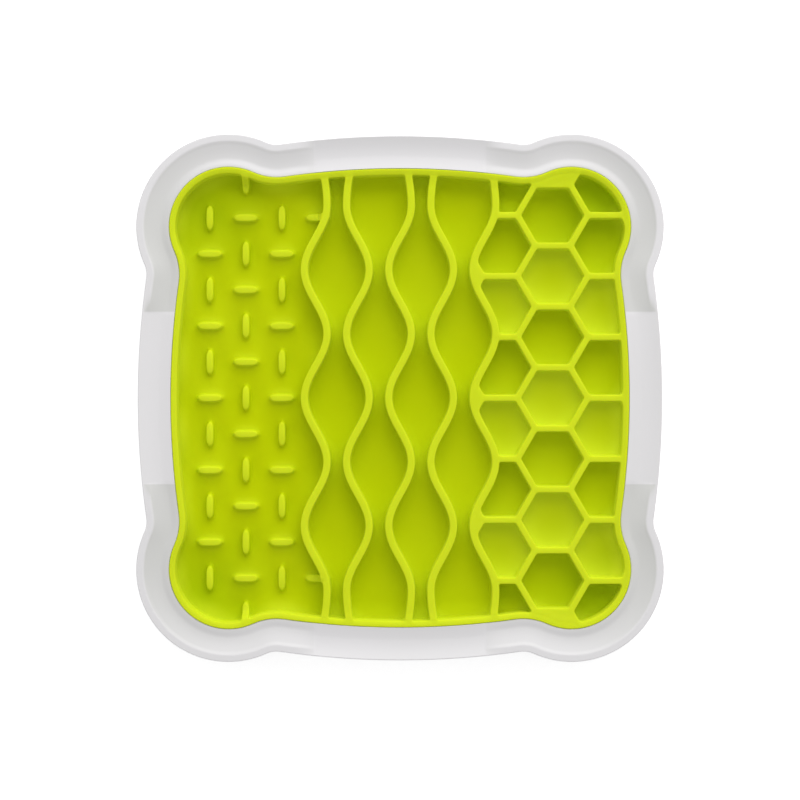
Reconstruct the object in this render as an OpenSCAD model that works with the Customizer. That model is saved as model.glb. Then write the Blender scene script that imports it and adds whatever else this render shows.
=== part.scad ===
// Lick mat: a lobed tray, a soft insert with three licking fields, and four rubber feet.
// Millimetres, +Z up. The origin is on the table under the middle of the tray.

/* [Outline] */
// Span of the tray, measured across two neighbouring corner lobes
tray_span = 200; // [180:1:230]
// Radius of each corner lobe
lobe_r = 35.1; // [32:0.1:38]
// How far the middle of a side lies inside the line across its two lobes
side_sink = 0.6; // [0.2:0.1:2]
// Radius of the outward bow of each side
side_r = 322; // [280:1:380]
// Radius of the small hollow where a side runs into a lobe
notch_r = 9; // [6:0.5:12]

/* [Tray] */
// Height of the tray's skirt above the table, which the feet keep clear
skirt_lift = 2; // [1.5:0.1:2.5]
// Height of the tray's moulding from the foot of its skirt to its rim
tray_h = 20; // [19:0.5:23]
// Width of the brim, from the tray's outer edge to the well that holds the insert
brim_w = 12.5; // [11.5:0.1:13.5]
// Width of the flat crown of the rim
crown_w = 0.4; // [0.1:0.1:1]
// Rounding of the outer edge of the rim
rim_round = 0.5; // [0.3:0.1:1.2]
// Thickness of the tray's wall and floor
tray_wall = 2.2; // [1.8:0.1:2.4]
// How much further out the foot of the skirt stands than its top, for the mould
skirt_draft = 0.25; // [0.1:0.05:0.6]
// Depth of the gutter below the rim at the corners
gutter_deep = 2.2; // [1.8:0.1:3.2]
// Depth of the gutter below the rim over the ledges in the middle of the sides
gutter_shallow = 1.3; // [0.8:0.1:1.7]
// Width of the flat bottom of the gutter
gutter_flat_w = 3; // [2.4:0.1:3.8]
// Half length of the ledge in the middle of each side
ledge_half_l = 33.5; // [28:0.5:36]
// Length of the slope at each end of a ledge
ledge_slope_l = 4; // [2:0.5:5]
// Depth of the well's floor below the rim
well_depth = 12.5; // [12:0.1:13]

/* [Insert] */
// Gap all round and under the insert in its well
insert_gap = 0.3; // [0.2:0.05:0.5]
// Height of the insert from its underside to its rim
insert_h = 12.2; // [12:0.1:14]
// Width of the insert's rim
insert_rim_w = 2; // [1.9:0.1:2.8]
// Rounding of the rim's two edges
insert_rim_round = 0.6; // [0.4:0.1:0.9]
// How much lower the rim's inner edge lies than its outer edge
insert_rim_fall = 0.8; // [0.4:0.1:1.2]
// Thickness of the insert's floor
insert_floor_t = 2.6; // [2:0.1:3]
// Height of the wave ribs and the honeycomb above the floor
rib_h = 8; // [6:0.1:8.4]

/* [Dashes] */
// Distance between neighbouring dashes, both ways
dash_pitch = 13.75; // [12.5:0.05:14.5]
// Length of a dash
dash_l = 8.9; // [8:0.1:10]
// Width of a dash
dash_w = 2.5; // [2.2:0.1:3.4]
// Height of a dash above the floor
dash_h = 3.7; // [2.5:0.1:6]
// Distance from the centre of the mat to the middle column of dashes
dash_x = 58.8; // [57:0.1:60]

/* [Waves] */
// Distance between neighbouring wave ribs
wave_pitch = 16; // [15.5:0.1:16.5]
// How far a wave rib swings to each side of its line
wave_swing = 4.3; // [3:0.1:4.6]
// Length of one whole wave
wave_l = 48.6; // [44:0.1:54]
// Width of a wave rib
wave_w = 2.7; // [2.2:0.1:3.2]

/* [Honeycomb] */
// Distance between neighbouring cells, measured across their flats
cell_pitch = 23.1; // [22:0.1:24]
// Width of the ribs between the cells
cell_rib_w = 2.4; // [2:0.1:3.4]
// Distance from the centre of the mat to the middle column of cells
cell_x = 57.9; // [57:0.1:59]
// Height of the raised floors of every second row of cells
cell_step = 2; // [1:0.1:3]

/* [Feet] */
// Radius of a foot's pad
foot_r = 8; // [6:0.1:9]
// Depth of the pocket that takes the pad
foot_sink = 1.2; // [0.8:0.1:1.6]
// Rounding of the pad's lower edge
foot_round = 0.8; // [0.4:0.1:1.2]
// Radius of the stem that is pressed into the boss
stem_r = 3; // [2:0.1:4]
// Length of the stem
stem_l = 3; // [2:0.1:3.4]
// Gap round the pad and the stem
foot_gap = 0.05; // [0.03:0.01:0.1]
// Wall of the boss round the pocket
boss_wall = 2; // [1.4:0.1:3]

/* [Stiffeners] */
// Depth of the low ribs under the well's floor
stiffener_h = 1; // [0.6:0.1:1.1]
// Width of the low ribs under the well's floor
stiffener_w = 2; // [1.4:0.1:3]

/* [Hidden] */
$fn = 64;

// Overrun of a cut through a surface
overrun = 0.5;
// Steps round each rounded edge, and down the slope into the gutter
round_steps = 2;
slope_steps = 6;
// Steps along one eighth of the outline: its ledge, its open gutter, its notch and its lobe
ledge_steps = 4;
gutter_steps = 2;
notch_steps = 3;
lobe_steps = 8;
// Steps along one wave
wave_steps = 16;
// Waves from the middle of a rib to its last crest
crest_waves = 1.5;
// Share of its swing that a rib keeps past its last crests
wave_end_share = 0.5;
// Rows of dashes on each side of the middle row
dash_rows = 5;
// Rows of cells on each side of the middle one in the middle column
cell_rows = 3;
// Where the gutter's underside bends up, as a share of the slope's width, and how far it rises
under_bend_share = 0.6;
under_rise_share = 0.4;
// How early the slope into the gutter is steepest; smaller is nearer to the rim
slope_roll_share = 0.6;

// Heights above the table
rim_z = skirt_lift + tray_h;
well_z = rim_z - well_depth;
insert_z = well_z + insert_gap;
floor_z = insert_z + insert_floor_t;
insert_top_z = insert_z + insert_h;

// The back right eighth of the outline is a bowed side, a small notch and a lobe, each tangent to the next
lobe_c = tray_span / 2 - lobe_r;
side_reach = tray_span / 2 - side_sink;
lobe_p = [lobe_c, lobe_c];
side_p = [0, side_reach - side_r];
notch_p = outer_meet(side_p, side_r + notch_r, lobe_p, lobe_r + notch_r);
side_end = heading(side_p, notch_p);
ledge_end = 90 - asin(ledge_half_l / side_r);
slope_end = 90 - asin((ledge_half_l + ledge_slope_l) / side_r);

// Point left of the line from a to b, at distance ra from a and rb from b
function outer_meet(a, ra, b, rb) =
    let (
        gap = norm(b - a),
        u = (b - a) / gap,
        along = (ra * ra - rb * rb + gap * gap) / (2 * gap),
        across = sqrt(ra * ra - along * along)
    )
    a + along * u + across * [-u.y, u.x];

function heading(from, to) = atan2(to.y - from.y, to.x - from.x);

// Stations are pairs of a point and its outward normal; outward is 1 on a bulge and -1 in a hollow
function arc_stations(centre, r, start, end, steps, outward) =
    [for (i = [0:steps - 1])
        let (a = start + (end - start) * i / steps, u = [cos(a), sin(a)])
        [centre + r * u, outward * u]];

// From the middle of the back side to just before the diagonal through the lobe
eighth = concat(
    arc_stations(side_p, side_r, 90, ledge_end, ledge_steps, 1),
    arc_stations(side_p, side_r, ledge_end, slope_end, 1, 1),
    arc_stations(side_p, side_r, slope_end, side_end, gutter_steps, 1),
    arc_stations(notch_p, notch_r, side_end - 180, heading(notch_p, lobe_p), notch_steps, -1),
    arc_stations(lobe_p, lobe_r, heading(lobe_p, notch_p), 45, lobe_steps, 1)
);
diagonal = arc_stations(lobe_p, lobe_r, 45, 45, 1, 1);

// The whole outline, clockwise seen from above: four quarters of two mirrored eighths each
function swap(p) = [p.y, p.x];
function quarter_turn(p, k) = k == 0 ? p : quarter_turn([p.y, -p.x], k - 1);
quarter = concat(eighth, diagonal, [for (i = [len(eighth) - 1:-1:1]) [swap(eighth[i][0]), swap(eighth[i][1])]]);
stations = [for (k = [0:3], s = quarter) [quarter_turn(s[0], k), quarter_turn(s[1], k)]];

// The outline drawn in by a distance
function outline(inset) = [for (s = stations) s[0] - inset * s[1]];

// One level of a shell: the outline drawn in by a distance, at a height over the ledges and one in the corners
function ring(inset, z, corner_z) =
    [for (s = stations)
        let (p = s[0] - inset * s[1], share = corner_share(s[0]))
        [p.x, p.y, is_undef(corner_z) ? z : z + (corner_z - z) * share]];

// 0 over a ledge and 1 in the open gutter round the corners, with a slope between
function corner_share(p) =
    min(1, max(0, (min(abs(p.x), abs(p.y)) - ledge_half_l) / ledge_slope_l));

// A closed shell through a list of rings: a loop whose last ring meets the first, or a flat cap at each end
module shell(rings, loop = false) {
    n = len(stations);
    levels = len(rings);
    polyhedron(
        points = [for (r = rings, p = r) p],
        faces = concat(
            loop ? [] : [[for (i = [n - 1:-1:0]) i], [for (i = [0:n - 1]) (levels - 1) * n + i]],
            [for (k = [0:levels - (loop ? 1 : 2)], i = [0:n - 1])
                let (a = k * n, b = (k + 1) % levels * n, j = (i + 1) % n)
                each [[a + i, a + j, b + j], [a + i, b + j, b + i]]]
        )
    );
}

// Points of a quarter round from one corner of its box to the other; it starts upright and ends level
function cove(start, end, steps) =
    [for (i = [0:steps])
        let (a = 90 * i / steps)
        [start.x + (end.x - start.x) * (1 - cos(a)), start.y + (end.y - start.y) * sin(a)]];

// Points down a slope that rolls off its upper end and flattens towards its lower end
function easy_slope(start, end, steps) =
    [for (i = [0:steps])
        let (u = i / steps)
        let (fall = (1 - cos(180 * pow(u, slope_roll_share))) / 2)
        [start.x + (end.x - start.x) * u, start.y + (end.y - start.y) * fall]];

function reversed(list) = [for (i = [len(list) - 1:-1:0]) list[i]];

// Tray
boss_r = foot_r + foot_gap + boss_wall;
gutter_start = skirt_draft + rim_round + crown_w;
gutter_end = brim_w - gutter_flat_w;
gutter_bend = gutter_start + (gutter_end - gutter_start) * under_bend_share;
well_under_z = well_z - tray_wall;

// From under the well out along the gutter's underside, down and up the skirt, over the rim and into the well
module tray_shell() {
    gutter_under_z = rim_z - gutter_deep - tray_wall;
    ledges = easy_slope([gutter_start, rim_z], [gutter_end, rim_z - gutter_shallow], slope_steps);
    corners = easy_slope([gutter_start, rim_z], [gutter_end, rim_z - gutter_deep], slope_steps);
    shell(concat(
        [
            ring(brim_w - tray_wall, well_under_z),
            ring(brim_w - tray_wall, gutter_under_z),
            ring(gutter_bend, gutter_under_z),
            ring(skirt_draft + tray_wall, gutter_under_z + gutter_deep * under_rise_share),
            ring(tray_wall, skirt_lift),
            ring(0, skirt_lift)
        ],
        [for (p = cove([skirt_draft, rim_z - rim_round], [skirt_draft + rim_round, rim_z], round_steps)) ring(p.x, p.y)],
        [for (i = [0:slope_steps]) ring(ledges[i].x, ledges[i].y, corners[i].y)],
        [ring(brim_w, rim_z - gutter_shallow, rim_z - gutter_deep), ring(brim_w, well_z)]
    ));
}

module at_feet() {
    for (x = [-lobe_c, lobe_c], y = [-lobe_c, lobe_c]) translate([x, y, 0]) children();
}

// Low ribs under the well's floor, from boss to boss
module stiffeners() {
    rise = stiffener_h + tray_wall / 2;
    module bar(l) {
        translate([-l / 2, -stiffener_w / 2, well_under_z - stiffener_h]) cube([l, stiffener_w, rise]);
    }
    for (turn = [0:90:270]) rotate([0, 0, turn]) translate([0, lobe_c, 0]) bar(2 * lobe_c);
    for (turn = [45, 135]) rotate([0, 0, turn]) bar(2 * lobe_c * sqrt(2));
}

module tray() {
    color("whitesmoke")
    difference() {
        union() {
            tray_shell();
            stiffeners();
            at_feet() translate([0, 0, skirt_lift]) cylinder(r = boss_r, h = well_z - tray_wall / 2 - skirt_lift);
        }
        at_feet() {
            translate([0, 0, skirt_lift - overrun]) cylinder(r = foot_r + foot_gap, h = foot_sink + overrun);
            translate([0, 0, skirt_lift]) cylinder(r = stem_r + foot_gap, h = foot_sink + stem_l + foot_gap);
        }
    }
}

// Insert
insert_inset = brim_w + insert_gap;
field_inset = insert_inset + insert_rim_w;

// The insert's outer wall, with a rounded rim that falls inwards and a bevelled lower edge
module insert_wall() {
    edge = insert_rim_round;
    inner_top_z = insert_top_z - insert_rim_fall;
    outer = cove([insert_inset, insert_top_z - edge], [insert_inset + edge, insert_top_z], round_steps);
    inner = reversed(cove([field_inset, inner_top_z - edge], [field_inset - edge, inner_top_z], round_steps));
    shell(
        concat(
            [ring(insert_inset + edge, insert_z), ring(insert_inset, insert_z + edge)],
            [for (p = concat(outer, inner)) ring(p.x, p.y)],
            [ring(field_inset, insert_z)]
        ),
        loop = true
    );
}

// The licking field, out to where its edge is buried in the outer wall
module field_area() {
    polygon(outline(field_inset - insert_rim_w / 2));
}

// A bar with round ends, lying along X
module dash_area() {
    straight = dash_l - dash_w;
    square([straight, dash_w], center = true);
    for (side = [-1, 1]) translate([side * straight / 2, 0]) circle(d = dash_w, $fn = 24);
}

// Dashes lie across and along by turns, like a basket weave
module dash_at(column, row) {
    across = (column + row) % 2 != 0;
    translate([column * dash_pitch - dash_x, row * dash_pitch]) rotate(across ? 0 : 90) dash_area();
}

module dashes_area() {
    for (column = [-1:1], row = [-dash_rows:dash_rows]) dash_at(column, row);
    // One more at each end of the field, and one that runs into the first wave rib
    for (side = [-1, 1]) {
        dash_at(0, side * (dash_rows + 1));
        dash_at(2, side * dash_rows);
    }
}

// How far round its wave a rib is at y, in degrees; past its last crests it straightens out
last_crest_y = crest_waves * wave_l;
function wave_end(y) = max(0, abs(y) - last_crest_y);
function wave_turn(y) = 360 * (abs(y) - wave_end(y) * (1 - wave_end_share)) / wave_l;

// Middle line of a wave rib and its slope; ribs beside each other swing opposite ways
function wave_way(rib) = rib % 2 == 0 ? -1 : 1;
function wave_line(rib, y) = rib * wave_pitch + wave_way(rib) * wave_swing * cos(wave_turn(y));
function wave_slope(rib, y) =
    let (share = wave_end(y) > 0 ? wave_end_share : 1)
    -sign(y) * wave_way(rib) * wave_swing * 2 * PI / wave_l * share * sin(wave_turn(y));

// The line's points moved aside, square to the line
function wave_edge(rib, aside) =
    let (last = ceil(wave_steps * side_reach / wave_l))
    [for (i = [-last:last])
        let (y = i * wave_l / wave_steps, slope = wave_slope(rib, y), stretch = sqrt(1 + slope * slope))
        [wave_line(rib, y) + aside / stretch, y - aside * slope / stretch]];

module wave_area(rib) {
    polygon(concat(wave_edge(rib, -wave_w / 2), reversed(wave_edge(rib, wave_w / 2))));
}

// Everything to the right of the last wave rib's middle line
module honeycomb_field_area() {
    far = tray_span / 2;
    edge = wave_edge(2, 0);
    top = edge[len(edge) - 1];
    polygon(concat(edge, [[far, top.y], [far, -top.y]]));
}

// Rows of a column of cells: the side columns stand half a row off the middle one
function cell_row_list(column) = column == 0 ? [-cell_rows:cell_rows] : [-cell_rows - 0.5:cell_rows + 0.5];

// A six-sided cell, drawn in from its share of the comb
module cell_area(column, row, draw_in) {
    translate([cell_x + column * cell_pitch * sqrt(3) / 2, row * cell_pitch])
        circle(r = (cell_pitch - draw_in) / sqrt(3), $fn = 6);
}

// The ribs between the cells, and the solid ends of the field
module comb_area() {
    difference() {
        honeycomb_field_area();
        for (column = [-1:1], row = cell_row_list(column)) cell_area(column, row, cell_rib_w);
    }
}

// Every second row of whole cells, whose floor is raised
module raised_cells_area() {
    intersection() {
        honeycomb_field_area();
        for (column = [-1:1], row = cell_row_list(column))
            if (abs(row) < cell_rows && floor(row + 0.5) % 2 == 0) cell_area(column, row, cell_rib_w / 2);
    }
}

// What stands on the floor, up to a height above it and rooted half way down in it
module on_floor(h) {
    root = insert_floor_t / 2;
    translate([0, 0, floor_z - root])
        linear_extrude(h + root)
            intersection() {
                field_area();
                children();
            }
}

module insert_field() {
    translate([0, 0, insert_z]) linear_extrude(insert_floor_t) field_area();
    on_floor(dash_h) dashes_area();
    on_floor(rib_h) union() {
        for (rib = [-2:2]) wave_area(rib);
        comb_area();
    }
    on_floor(cell_step) raised_cells_area();
}

module insert() {
    color([0.76, 0.83, 0.16])
    union() {
        insert_wall();
        insert_field();
    }
}

// Feet
module foot(x_side, y_side) {
    pad_top_z = skirt_lift + foot_sink;
    color("dimgray")
    translate([x_side * lobe_c, y_side * lobe_c, 0])
        rotate_extrude()
            polygon(concat(
                [[0, 0]],
                reversed(cove([foot_r, foot_round], [foot_r - foot_round, 0], round_steps)),
                [[foot_r, pad_top_z], [stem_r, pad_top_z], [stem_r, pad_top_z + stem_l], [0, pad_top_z + stem_l]]
            ));
}

module foot_front_left() { foot(-1, -1); }
module foot_front_right() { foot(1, -1); }
module foot_back_left() { foot(-1, 1); }
module foot_back_right() { foot(1, 1); }

tray();
insert();
foot_front_left();
foot_front_right();
foot_back_left();
foot_back_right();
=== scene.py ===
"""A lick mat: a lobed tray, a soft insert with three licking fields, and four rubber feet.

Plan sizes are in millimetres in the mat's own frame: +X to the right, +Y to the back, and the origin
on the table under the middle of the tray. Meshes are written in metres.
"""

from __future__ import annotations

import logging
import math
from collections.abc import Callable
from dataclasses import dataclass, field
from enum import Enum

import bpy
import numpy as np
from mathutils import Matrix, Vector
from mathutils.geometry import delaunay_2d_cdt

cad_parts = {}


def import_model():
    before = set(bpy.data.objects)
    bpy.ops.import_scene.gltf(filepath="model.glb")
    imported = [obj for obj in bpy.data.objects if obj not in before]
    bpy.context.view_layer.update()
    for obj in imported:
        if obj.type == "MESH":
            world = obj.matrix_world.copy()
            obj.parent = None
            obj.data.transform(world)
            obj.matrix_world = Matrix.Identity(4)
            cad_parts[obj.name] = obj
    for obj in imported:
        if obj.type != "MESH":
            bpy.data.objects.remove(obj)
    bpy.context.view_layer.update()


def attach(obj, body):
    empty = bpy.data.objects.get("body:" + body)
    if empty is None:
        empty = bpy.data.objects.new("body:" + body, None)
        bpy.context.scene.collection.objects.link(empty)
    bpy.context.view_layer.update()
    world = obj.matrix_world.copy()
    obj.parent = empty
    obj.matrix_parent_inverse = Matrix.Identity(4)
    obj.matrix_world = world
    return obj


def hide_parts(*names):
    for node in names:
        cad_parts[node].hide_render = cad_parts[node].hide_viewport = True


Array = np.ndarray
Rgb = tuple[float, float, float]
Point = tuple[float, float]
Spot = tuple[float, float, float]

MM = 0.001
FAR = 1e3
TINY = 1e-9
ROUND_SIDES = 96
FACING = 0.9
log = logging.getLogger("lick_mat")


class Body(Enum):
    """Bodies of the mat that move as one."""

    TRAY = "tray"
    INSERT = "insert"


class Slot(Enum):
    """Material slots of the record."""

    TRAY = "tray_plastic"
    INSERT = "insert_rubber"
    FOOT = "foot_rubber"


# Shader maths


class Value:
    """A number in a material's node tree, for use in Python sums."""

    def __init__(self, canvas: Canvas, socket: bpy.types.NodeSocket) -> None:
        """Wraps a socket.

        Args:
            canvas: The node tree that the socket belongs to.
            socket: The output that carries the number.
        """
        self.canvas = canvas
        self.socket = socket

    def maths(self, operation: str, first: Value | float, second: Value | float) -> Value:
        """Adds a Math node.

        Args:
            operation: The node's operation.
            first: The left operand.
            second: The right operand.

        Returns:
            The node's result.
        """
        made = self.canvas.node("ShaderNodeMath", {"operation": operation}, {0: first, 1: second})
        return Value(self.canvas, made.outputs[0])

    def __add__(self, other: Value | float) -> Value:
        """Returns this plus other."""
        return self.maths("ADD", self, other)

    __radd__ = __add__

    def __mul__(self, other: Value | float) -> Value:
        """Returns this times other."""
        return self.maths("MULTIPLY", self, other)

    __rmul__ = __mul__

    def __sub__(self, other: Value | float) -> Value:
        """Returns this minus other."""
        return self.maths("SUBTRACT", self, other)

    def __rsub__(self, other: float) -> Value:
        """Returns other minus this."""
        return self.maths("SUBTRACT", other, self)

    def __truediv__(self, other: Value | float) -> Value:
        """Returns this over other."""
        return self.maths("DIVIDE", self, other)

    def magnitude(self) -> Value:
        """Returns this without its sign."""
        return self.maths("ABSOLUTE", self, 0.0)

    def clamped(self) -> Value:
        """Returns this kept between 0 and 1."""
        return self.maths("MAXIMUM", self.maths("MINIMUM", self, 1.0), 0.0)


class Canvas:
    """The node tree of one material."""

    def __init__(self, name: str) -> None:
        """Makes an empty node material.

        Args:
            name: The material's name.
        """
        self.material = bpy.data.materials.new(name)
        self.material.use_nodes = True
        self.tree = self.material.node_tree
        self.tree.nodes.clear()

    def node(self, kind: str, settings: dict | None = None, inputs: dict | None = None) -> bpy.types.Node:
        """Adds any node.

        Args:
            kind: The node's type.
            settings: The node's own settings, which are set first.
            inputs: Values or links of its sockets, by name or number.

        Returns:
            The new node.
        """
        made = self.tree.nodes.new(kind)
        for key, value in (settings or {}).items():
            setattr(made, key, value)
        for key, value in (inputs or {}).items():
            source = value.socket if isinstance(value, Value) else value
            if isinstance(source, bpy.types.NodeSocket):
                self.tree.links.new(source, made.inputs[key])
            else:
                made.inputs[key].default_value = source
        return made

    def place(self) -> bpy.types.NodeSocket:
        """Returns the Object coordinates."""
        return self.node("ShaderNodeTexCoord").outputs["Object"]

    def height(self) -> Value:
        """Returns the height above the table, in metres."""
        return Value(self, self.node("ShaderNodeSeparateXYZ", None, {0: self.place()}).outputs["Z"])

    def reaches(self) -> tuple[Value, Value]:
        """Measures the way to the two middle planes.

        Returns:
            The distances across and along, in metres.
        """
        place = self.node("ShaderNodeSeparateXYZ", None, {0: self.place()})
        across, along = [Value(self, place.outputs[axis]).magnitude() for axis in "XY"]
        return across, along

    def nearer(self) -> Value:
        """Returns how far the nearer of the two middle planes lies, in metres."""
        across, along = self.reaches()
        return across.maths("MINIMUM", across, along)

    def upward(self) -> Value:
        """Returns how far the surface faces up: 1 where it lies level and 0 where it stands upright."""
        normal = self.node("ShaderNodeTexCoord").outputs["Normal"]
        return Value(self, self.node("ShaderNodeSeparateXYZ", None, {0: normal}).outputs["Z"])

    @staticmethod
    def ramp(amount: Value, start: float, fade: float) -> Value:
        """Fades a value in.

        Args:
            amount: The value.
            start: Where it starts to count.
            fade: How far beyond that it counts in full.

        Returns:
            0 up to the start and 1 beyond the fade.
        """
        return ((amount - start) / fade).clamped()

    def noise(self, grain_mm: float, detail: float = 2.0, roughness: float = 0.5) -> Value:
        """Adds noise on the Object coordinates.

        Args:
            grain_mm: The size of one grain.
            detail: How many finer layers lie on it.
            roughness: How strong the finer layers are.

        Returns:
            The noise, about 0.5.
        """
        made = self.node("ShaderNodeTexNoise", None, {
            "Vector": self.place(),
            "Scale": 1.0 / (grain_mm * MM),
            "Detail": detail,
            "Roughness": roughness,
        })
        return Value(self, made.outputs[0])

    def shade(self, amount: Value, low: Rgb | bpy.types.NodeSocket, high: Rgb) -> bpy.types.NodeSocket:
        """Mixes two colours.

        Args:
            amount: 0 for the low colour and 1 for the high one.
            low: The first colour.
            high: The second colour.

        Returns:
            The mixed colour.
        """
        first = (*low, 1.0) if isinstance(low, tuple) else low
        made = self.node("ShaderNodeMix", {"data_type": "RGBA"}, {0: amount, 6: first, 7: (*high, 1.0)})
        return made.outputs[2]

    def bump(self, relief: Value, depth_mm: float, strength: float) -> bpy.types.NodeSocket:
        """Adds a fine relief.

        Args:
            relief: The height, from 0 to 1.
            depth_mm: The depth that 1 stands for.
            strength: How much of it shows.

        Returns:
            The bent normal.
        """
        made = self.node("ShaderNodeBump", None, {
            "Strength": strength, "Distance": depth_mm * MM, "Height": relief,
        })
        return made.outputs[0]

    def surface(self, inputs: dict) -> bpy.types.Material:
        """Ends the tree in a Principled shader.

        Args:
            inputs: Values or links of the shader's sockets.

        Returns:
            The material.
        """
        shader = self.node("ShaderNodeBsdfPrincipled", None, inputs)
        self.node("ShaderNodeOutputMaterial", None, {"Surface": shader.outputs[0]})
        return self.material


@dataclass(frozen=True)
class LimeRubber:
    """Soft moulded rubber with a satin skin, with painted light that pales its raised ribs and painted
    shade that deepens its low floors and its corner lobes.

    The painted light pales it between the heights pale_from and pale_to, and the painted shade deepens it
    over lobe_fade where both middle planes lie more than lobe_from away.
    """

    # Painted shade for the floors of the corner lobes.
    shady: Rgb = (0.36, 0.49, 0.0005)
    # The first colour is the low floors' tone with painted shade in it; the second is the raised tops' tone
    # with painted light in it, which the random drift also uses.
    deep_and_shaded: Rgb = (0.515, 0.610, 0.0005)
    pale_and_lit: Rgb = (0.622, 0.727, 0.018)
    lobe_from: float = 44.0
    lobe_fade: float = 28.0
    lobe_shade: float = 0.65
    pale_from: float = 13.4
    pale_to: float = 16.0
    pale_least: float = 0.04
    pale_gain: float = 0.92
    drift_mm: float = 38.0
    drift_pale: float = 0.4
    drift_rough: float = 0.10
    grain_mm: float = 0.45
    grain_depth: float = 0.02
    grain_strength: float = 0.5
    grain_rough: float = 0.08
    roughness: float = 0.48
    ior: float = 1.47
    shine: float = 0.03
    glow: float = 0.35
    glow_mm: float = 3.0
    glow_reach: Rgb = (1.0, 0.8, 0.2)

    def material(self) -> bpy.types.Material:
        """Mixes the finish.

        Returns:
            The finish as a material.
        """
        canvas = Canvas("lime_rubber")
        # Painted light: the higher a surface stands, the paler it is mixed, so rib tops read lit and low
        # floors read shaded.
        rise = canvas.ramp(canvas.height() / MM, self.pale_from, self.pale_to - self.pale_from)
        drift = canvas.noise(self.drift_mm, 3.0) - 0.5
        grain = canvas.noise(self.grain_mm, 3.0, 0.6)
        pale_and_lit = (rise * self.pale_gain + drift * self.drift_pale + self.pale_least).clamped()
        # Painted shade: the corner lobes' floors are darkened towards the shade colour.
        lobe = canvas.ramp(canvas.nearer() / MM, self.lobe_from, self.lobe_fade)
        floor = canvas.shade(lobe * self.lobe_shade, self.deep_and_shaded, self.shady)
        uneven = drift * self.drift_rough + grain * self.grain_rough
        return canvas.surface({
            "Base Color": canvas.shade(pale_and_lit, floor, self.pale_and_lit),
            "Roughness": uneven + (self.roughness - self.grain_rough / 2),
            "Normal": canvas.bump(grain, self.grain_depth, self.grain_strength),
            "IOR": self.ior,
            "Specular IOR Level": self.shine,
            "Subsurface Weight": self.glow,
            "Subsurface Radius": self.glow_reach,
            "Subsurface Scale": self.glow_mm * MM,
        })


@dataclass(frozen=True)
class SatinPlastic:
    """White moulded plastic with a fine etched skin, faint flow clouds and painted shade in the corner
    gutter.

    The painted shade lies on the brim's level faces below band_z, where both middle planes lie more than
    corner_from away. It deepens from end_depth, at the back and the front, to side_depth, at the left and
    the right.
    """

    low: Rgb = (0.600, 0.600, 0.580)
    high: Rgb = (0.742, 0.730, 0.742)
    band_z: float = 21.98
    band_fade: float = 0.25
    brim_from: float = 17.0
    brim_fade: float = 1.0
    corner_from: float = 32.4
    corner_fade: float = 0.5
    level_from: float = 0.6
    level_fade: float = 0.2
    turn_mm: float = 60.0
    side_depth: float = 0.80
    end_depth: float = 0.15
    lightest: float = 1.075
    cloud_mm: float = 55.0
    cloud_grey: float = 0.3
    cloud_rough: float = 0.12
    grain_mm: float = 0.30
    grain_depth: float = 0.012
    grain_strength: float = 0.45
    grain_rough: float = 0.10
    roughness: float = 0.42
    ior: float = 1.49

    def material(self) -> bpy.types.Material:
        """Mixes the finish.

        Returns:
            The finish as a material.
        """
        canvas = Canvas("satin_plastic")
        cloud = canvas.noise(self.cloud_mm, 2.0)
        grain = canvas.noise(self.grain_mm, 2.0, 0.6)
        height = canvas.height() / MM
        # Painted shade: the brim's level faces that lie below the band in the corner gutters are greyed,
        # most at the left and the right.
        level = canvas.ramp(canvas.upward(), self.level_from, self.level_fade)
        on_brim = canvas.ramp(height, self.brim_from, self.brim_fade) * level
        shaded_gutter = ((self.band_z - height) / self.band_fade).clamped() * on_brim
        corner = canvas.ramp(canvas.nearer() / MM, self.corner_from, self.corner_fade)
        across, along = canvas.reaches()
        aside = ((across - along) / MM / self.turn_mm + 0.5).clamped()
        depth = aside * (self.side_depth - self.end_depth) + self.end_depth
        # The gutter's painted shade and the random flow clouds both grey the white.
        light = (self.lightest - corner * shaded_gutter * depth - cloud * self.cloud_grey).clamped()
        uneven = (cloud - 0.5) * self.cloud_rough + grain * self.grain_rough
        return canvas.surface({
            "Base Color": canvas.shade(light, self.low, self.high),
            "Roughness": uneven + (self.roughness - self.grain_rough / 2),
            "Normal": canvas.bump(grain, self.grain_depth, self.grain_strength),
            "IOR": self.ior,
        })


@dataclass(frozen=True)
class GripRubber:
    """Dark matte rubber with dust in its pores."""

    dark: Rgb = (0.045, 0.048, 0.050)
    dusty: Rgb = (0.085, 0.088, 0.090)
    pore_mm: float = 0.5
    pore_depth: float = 0.05
    pore_strength: float = 0.5
    pore_dust: float = 0.6
    pore_rough: float = 0.2
    patch_mm: float = 6.0
    patch_dust: float = 0.5
    clean: float = 0.1
    roughness: float = 0.72

    def material(self) -> bpy.types.Material:
        """Mixes the finish.

        Returns:
            The finish as a material.
        """
        canvas = Canvas("grip_rubber")
        pores = canvas.noise(self.pore_mm, 4.0, 0.65)
        patches = canvas.noise(self.patch_mm, 2.0)
        dust = (pores * self.pore_dust + patches * self.patch_dust - self.clean).clamped()
        return canvas.surface({
            "Base Color": canvas.shade(dust, self.dark, self.dusty),
            "Roughness": pores * self.pore_rough + (self.roughness - self.pore_rough / 2),
            "Normal": canvas.bump(pores, self.pore_depth, self.pore_strength),
        })


# Plan geometry


def blend_min(a: Array, b: Array, k: float) -> Array:
    """Joins two distances.

    Args:
        a: The first distance.
        b: The second distance.
        k: The width over which they blend.

    Returns:
        The smaller of the two, with a soft corner.
    """
    h = np.clip(0.5 + 0.5 * (b - a) / k, 0.0, 1.0)
    return b * (1.0 - h) + a * h - k * h * (1.0 - h)


def blend_max(a: Array, b: Array, k: float) -> Array:
    """Returns the larger of two distances, with a soft corner as wide as k."""
    return -blend_min(-a, -b, k)


def ease(x: Array) -> Array:
    """Returns 0 below 0, 1 above 1 and a smooth step between."""
    t = np.clip(x, 0.0, 1.0)
    return t * t * (3.0 - 2.0 * t)


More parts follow.
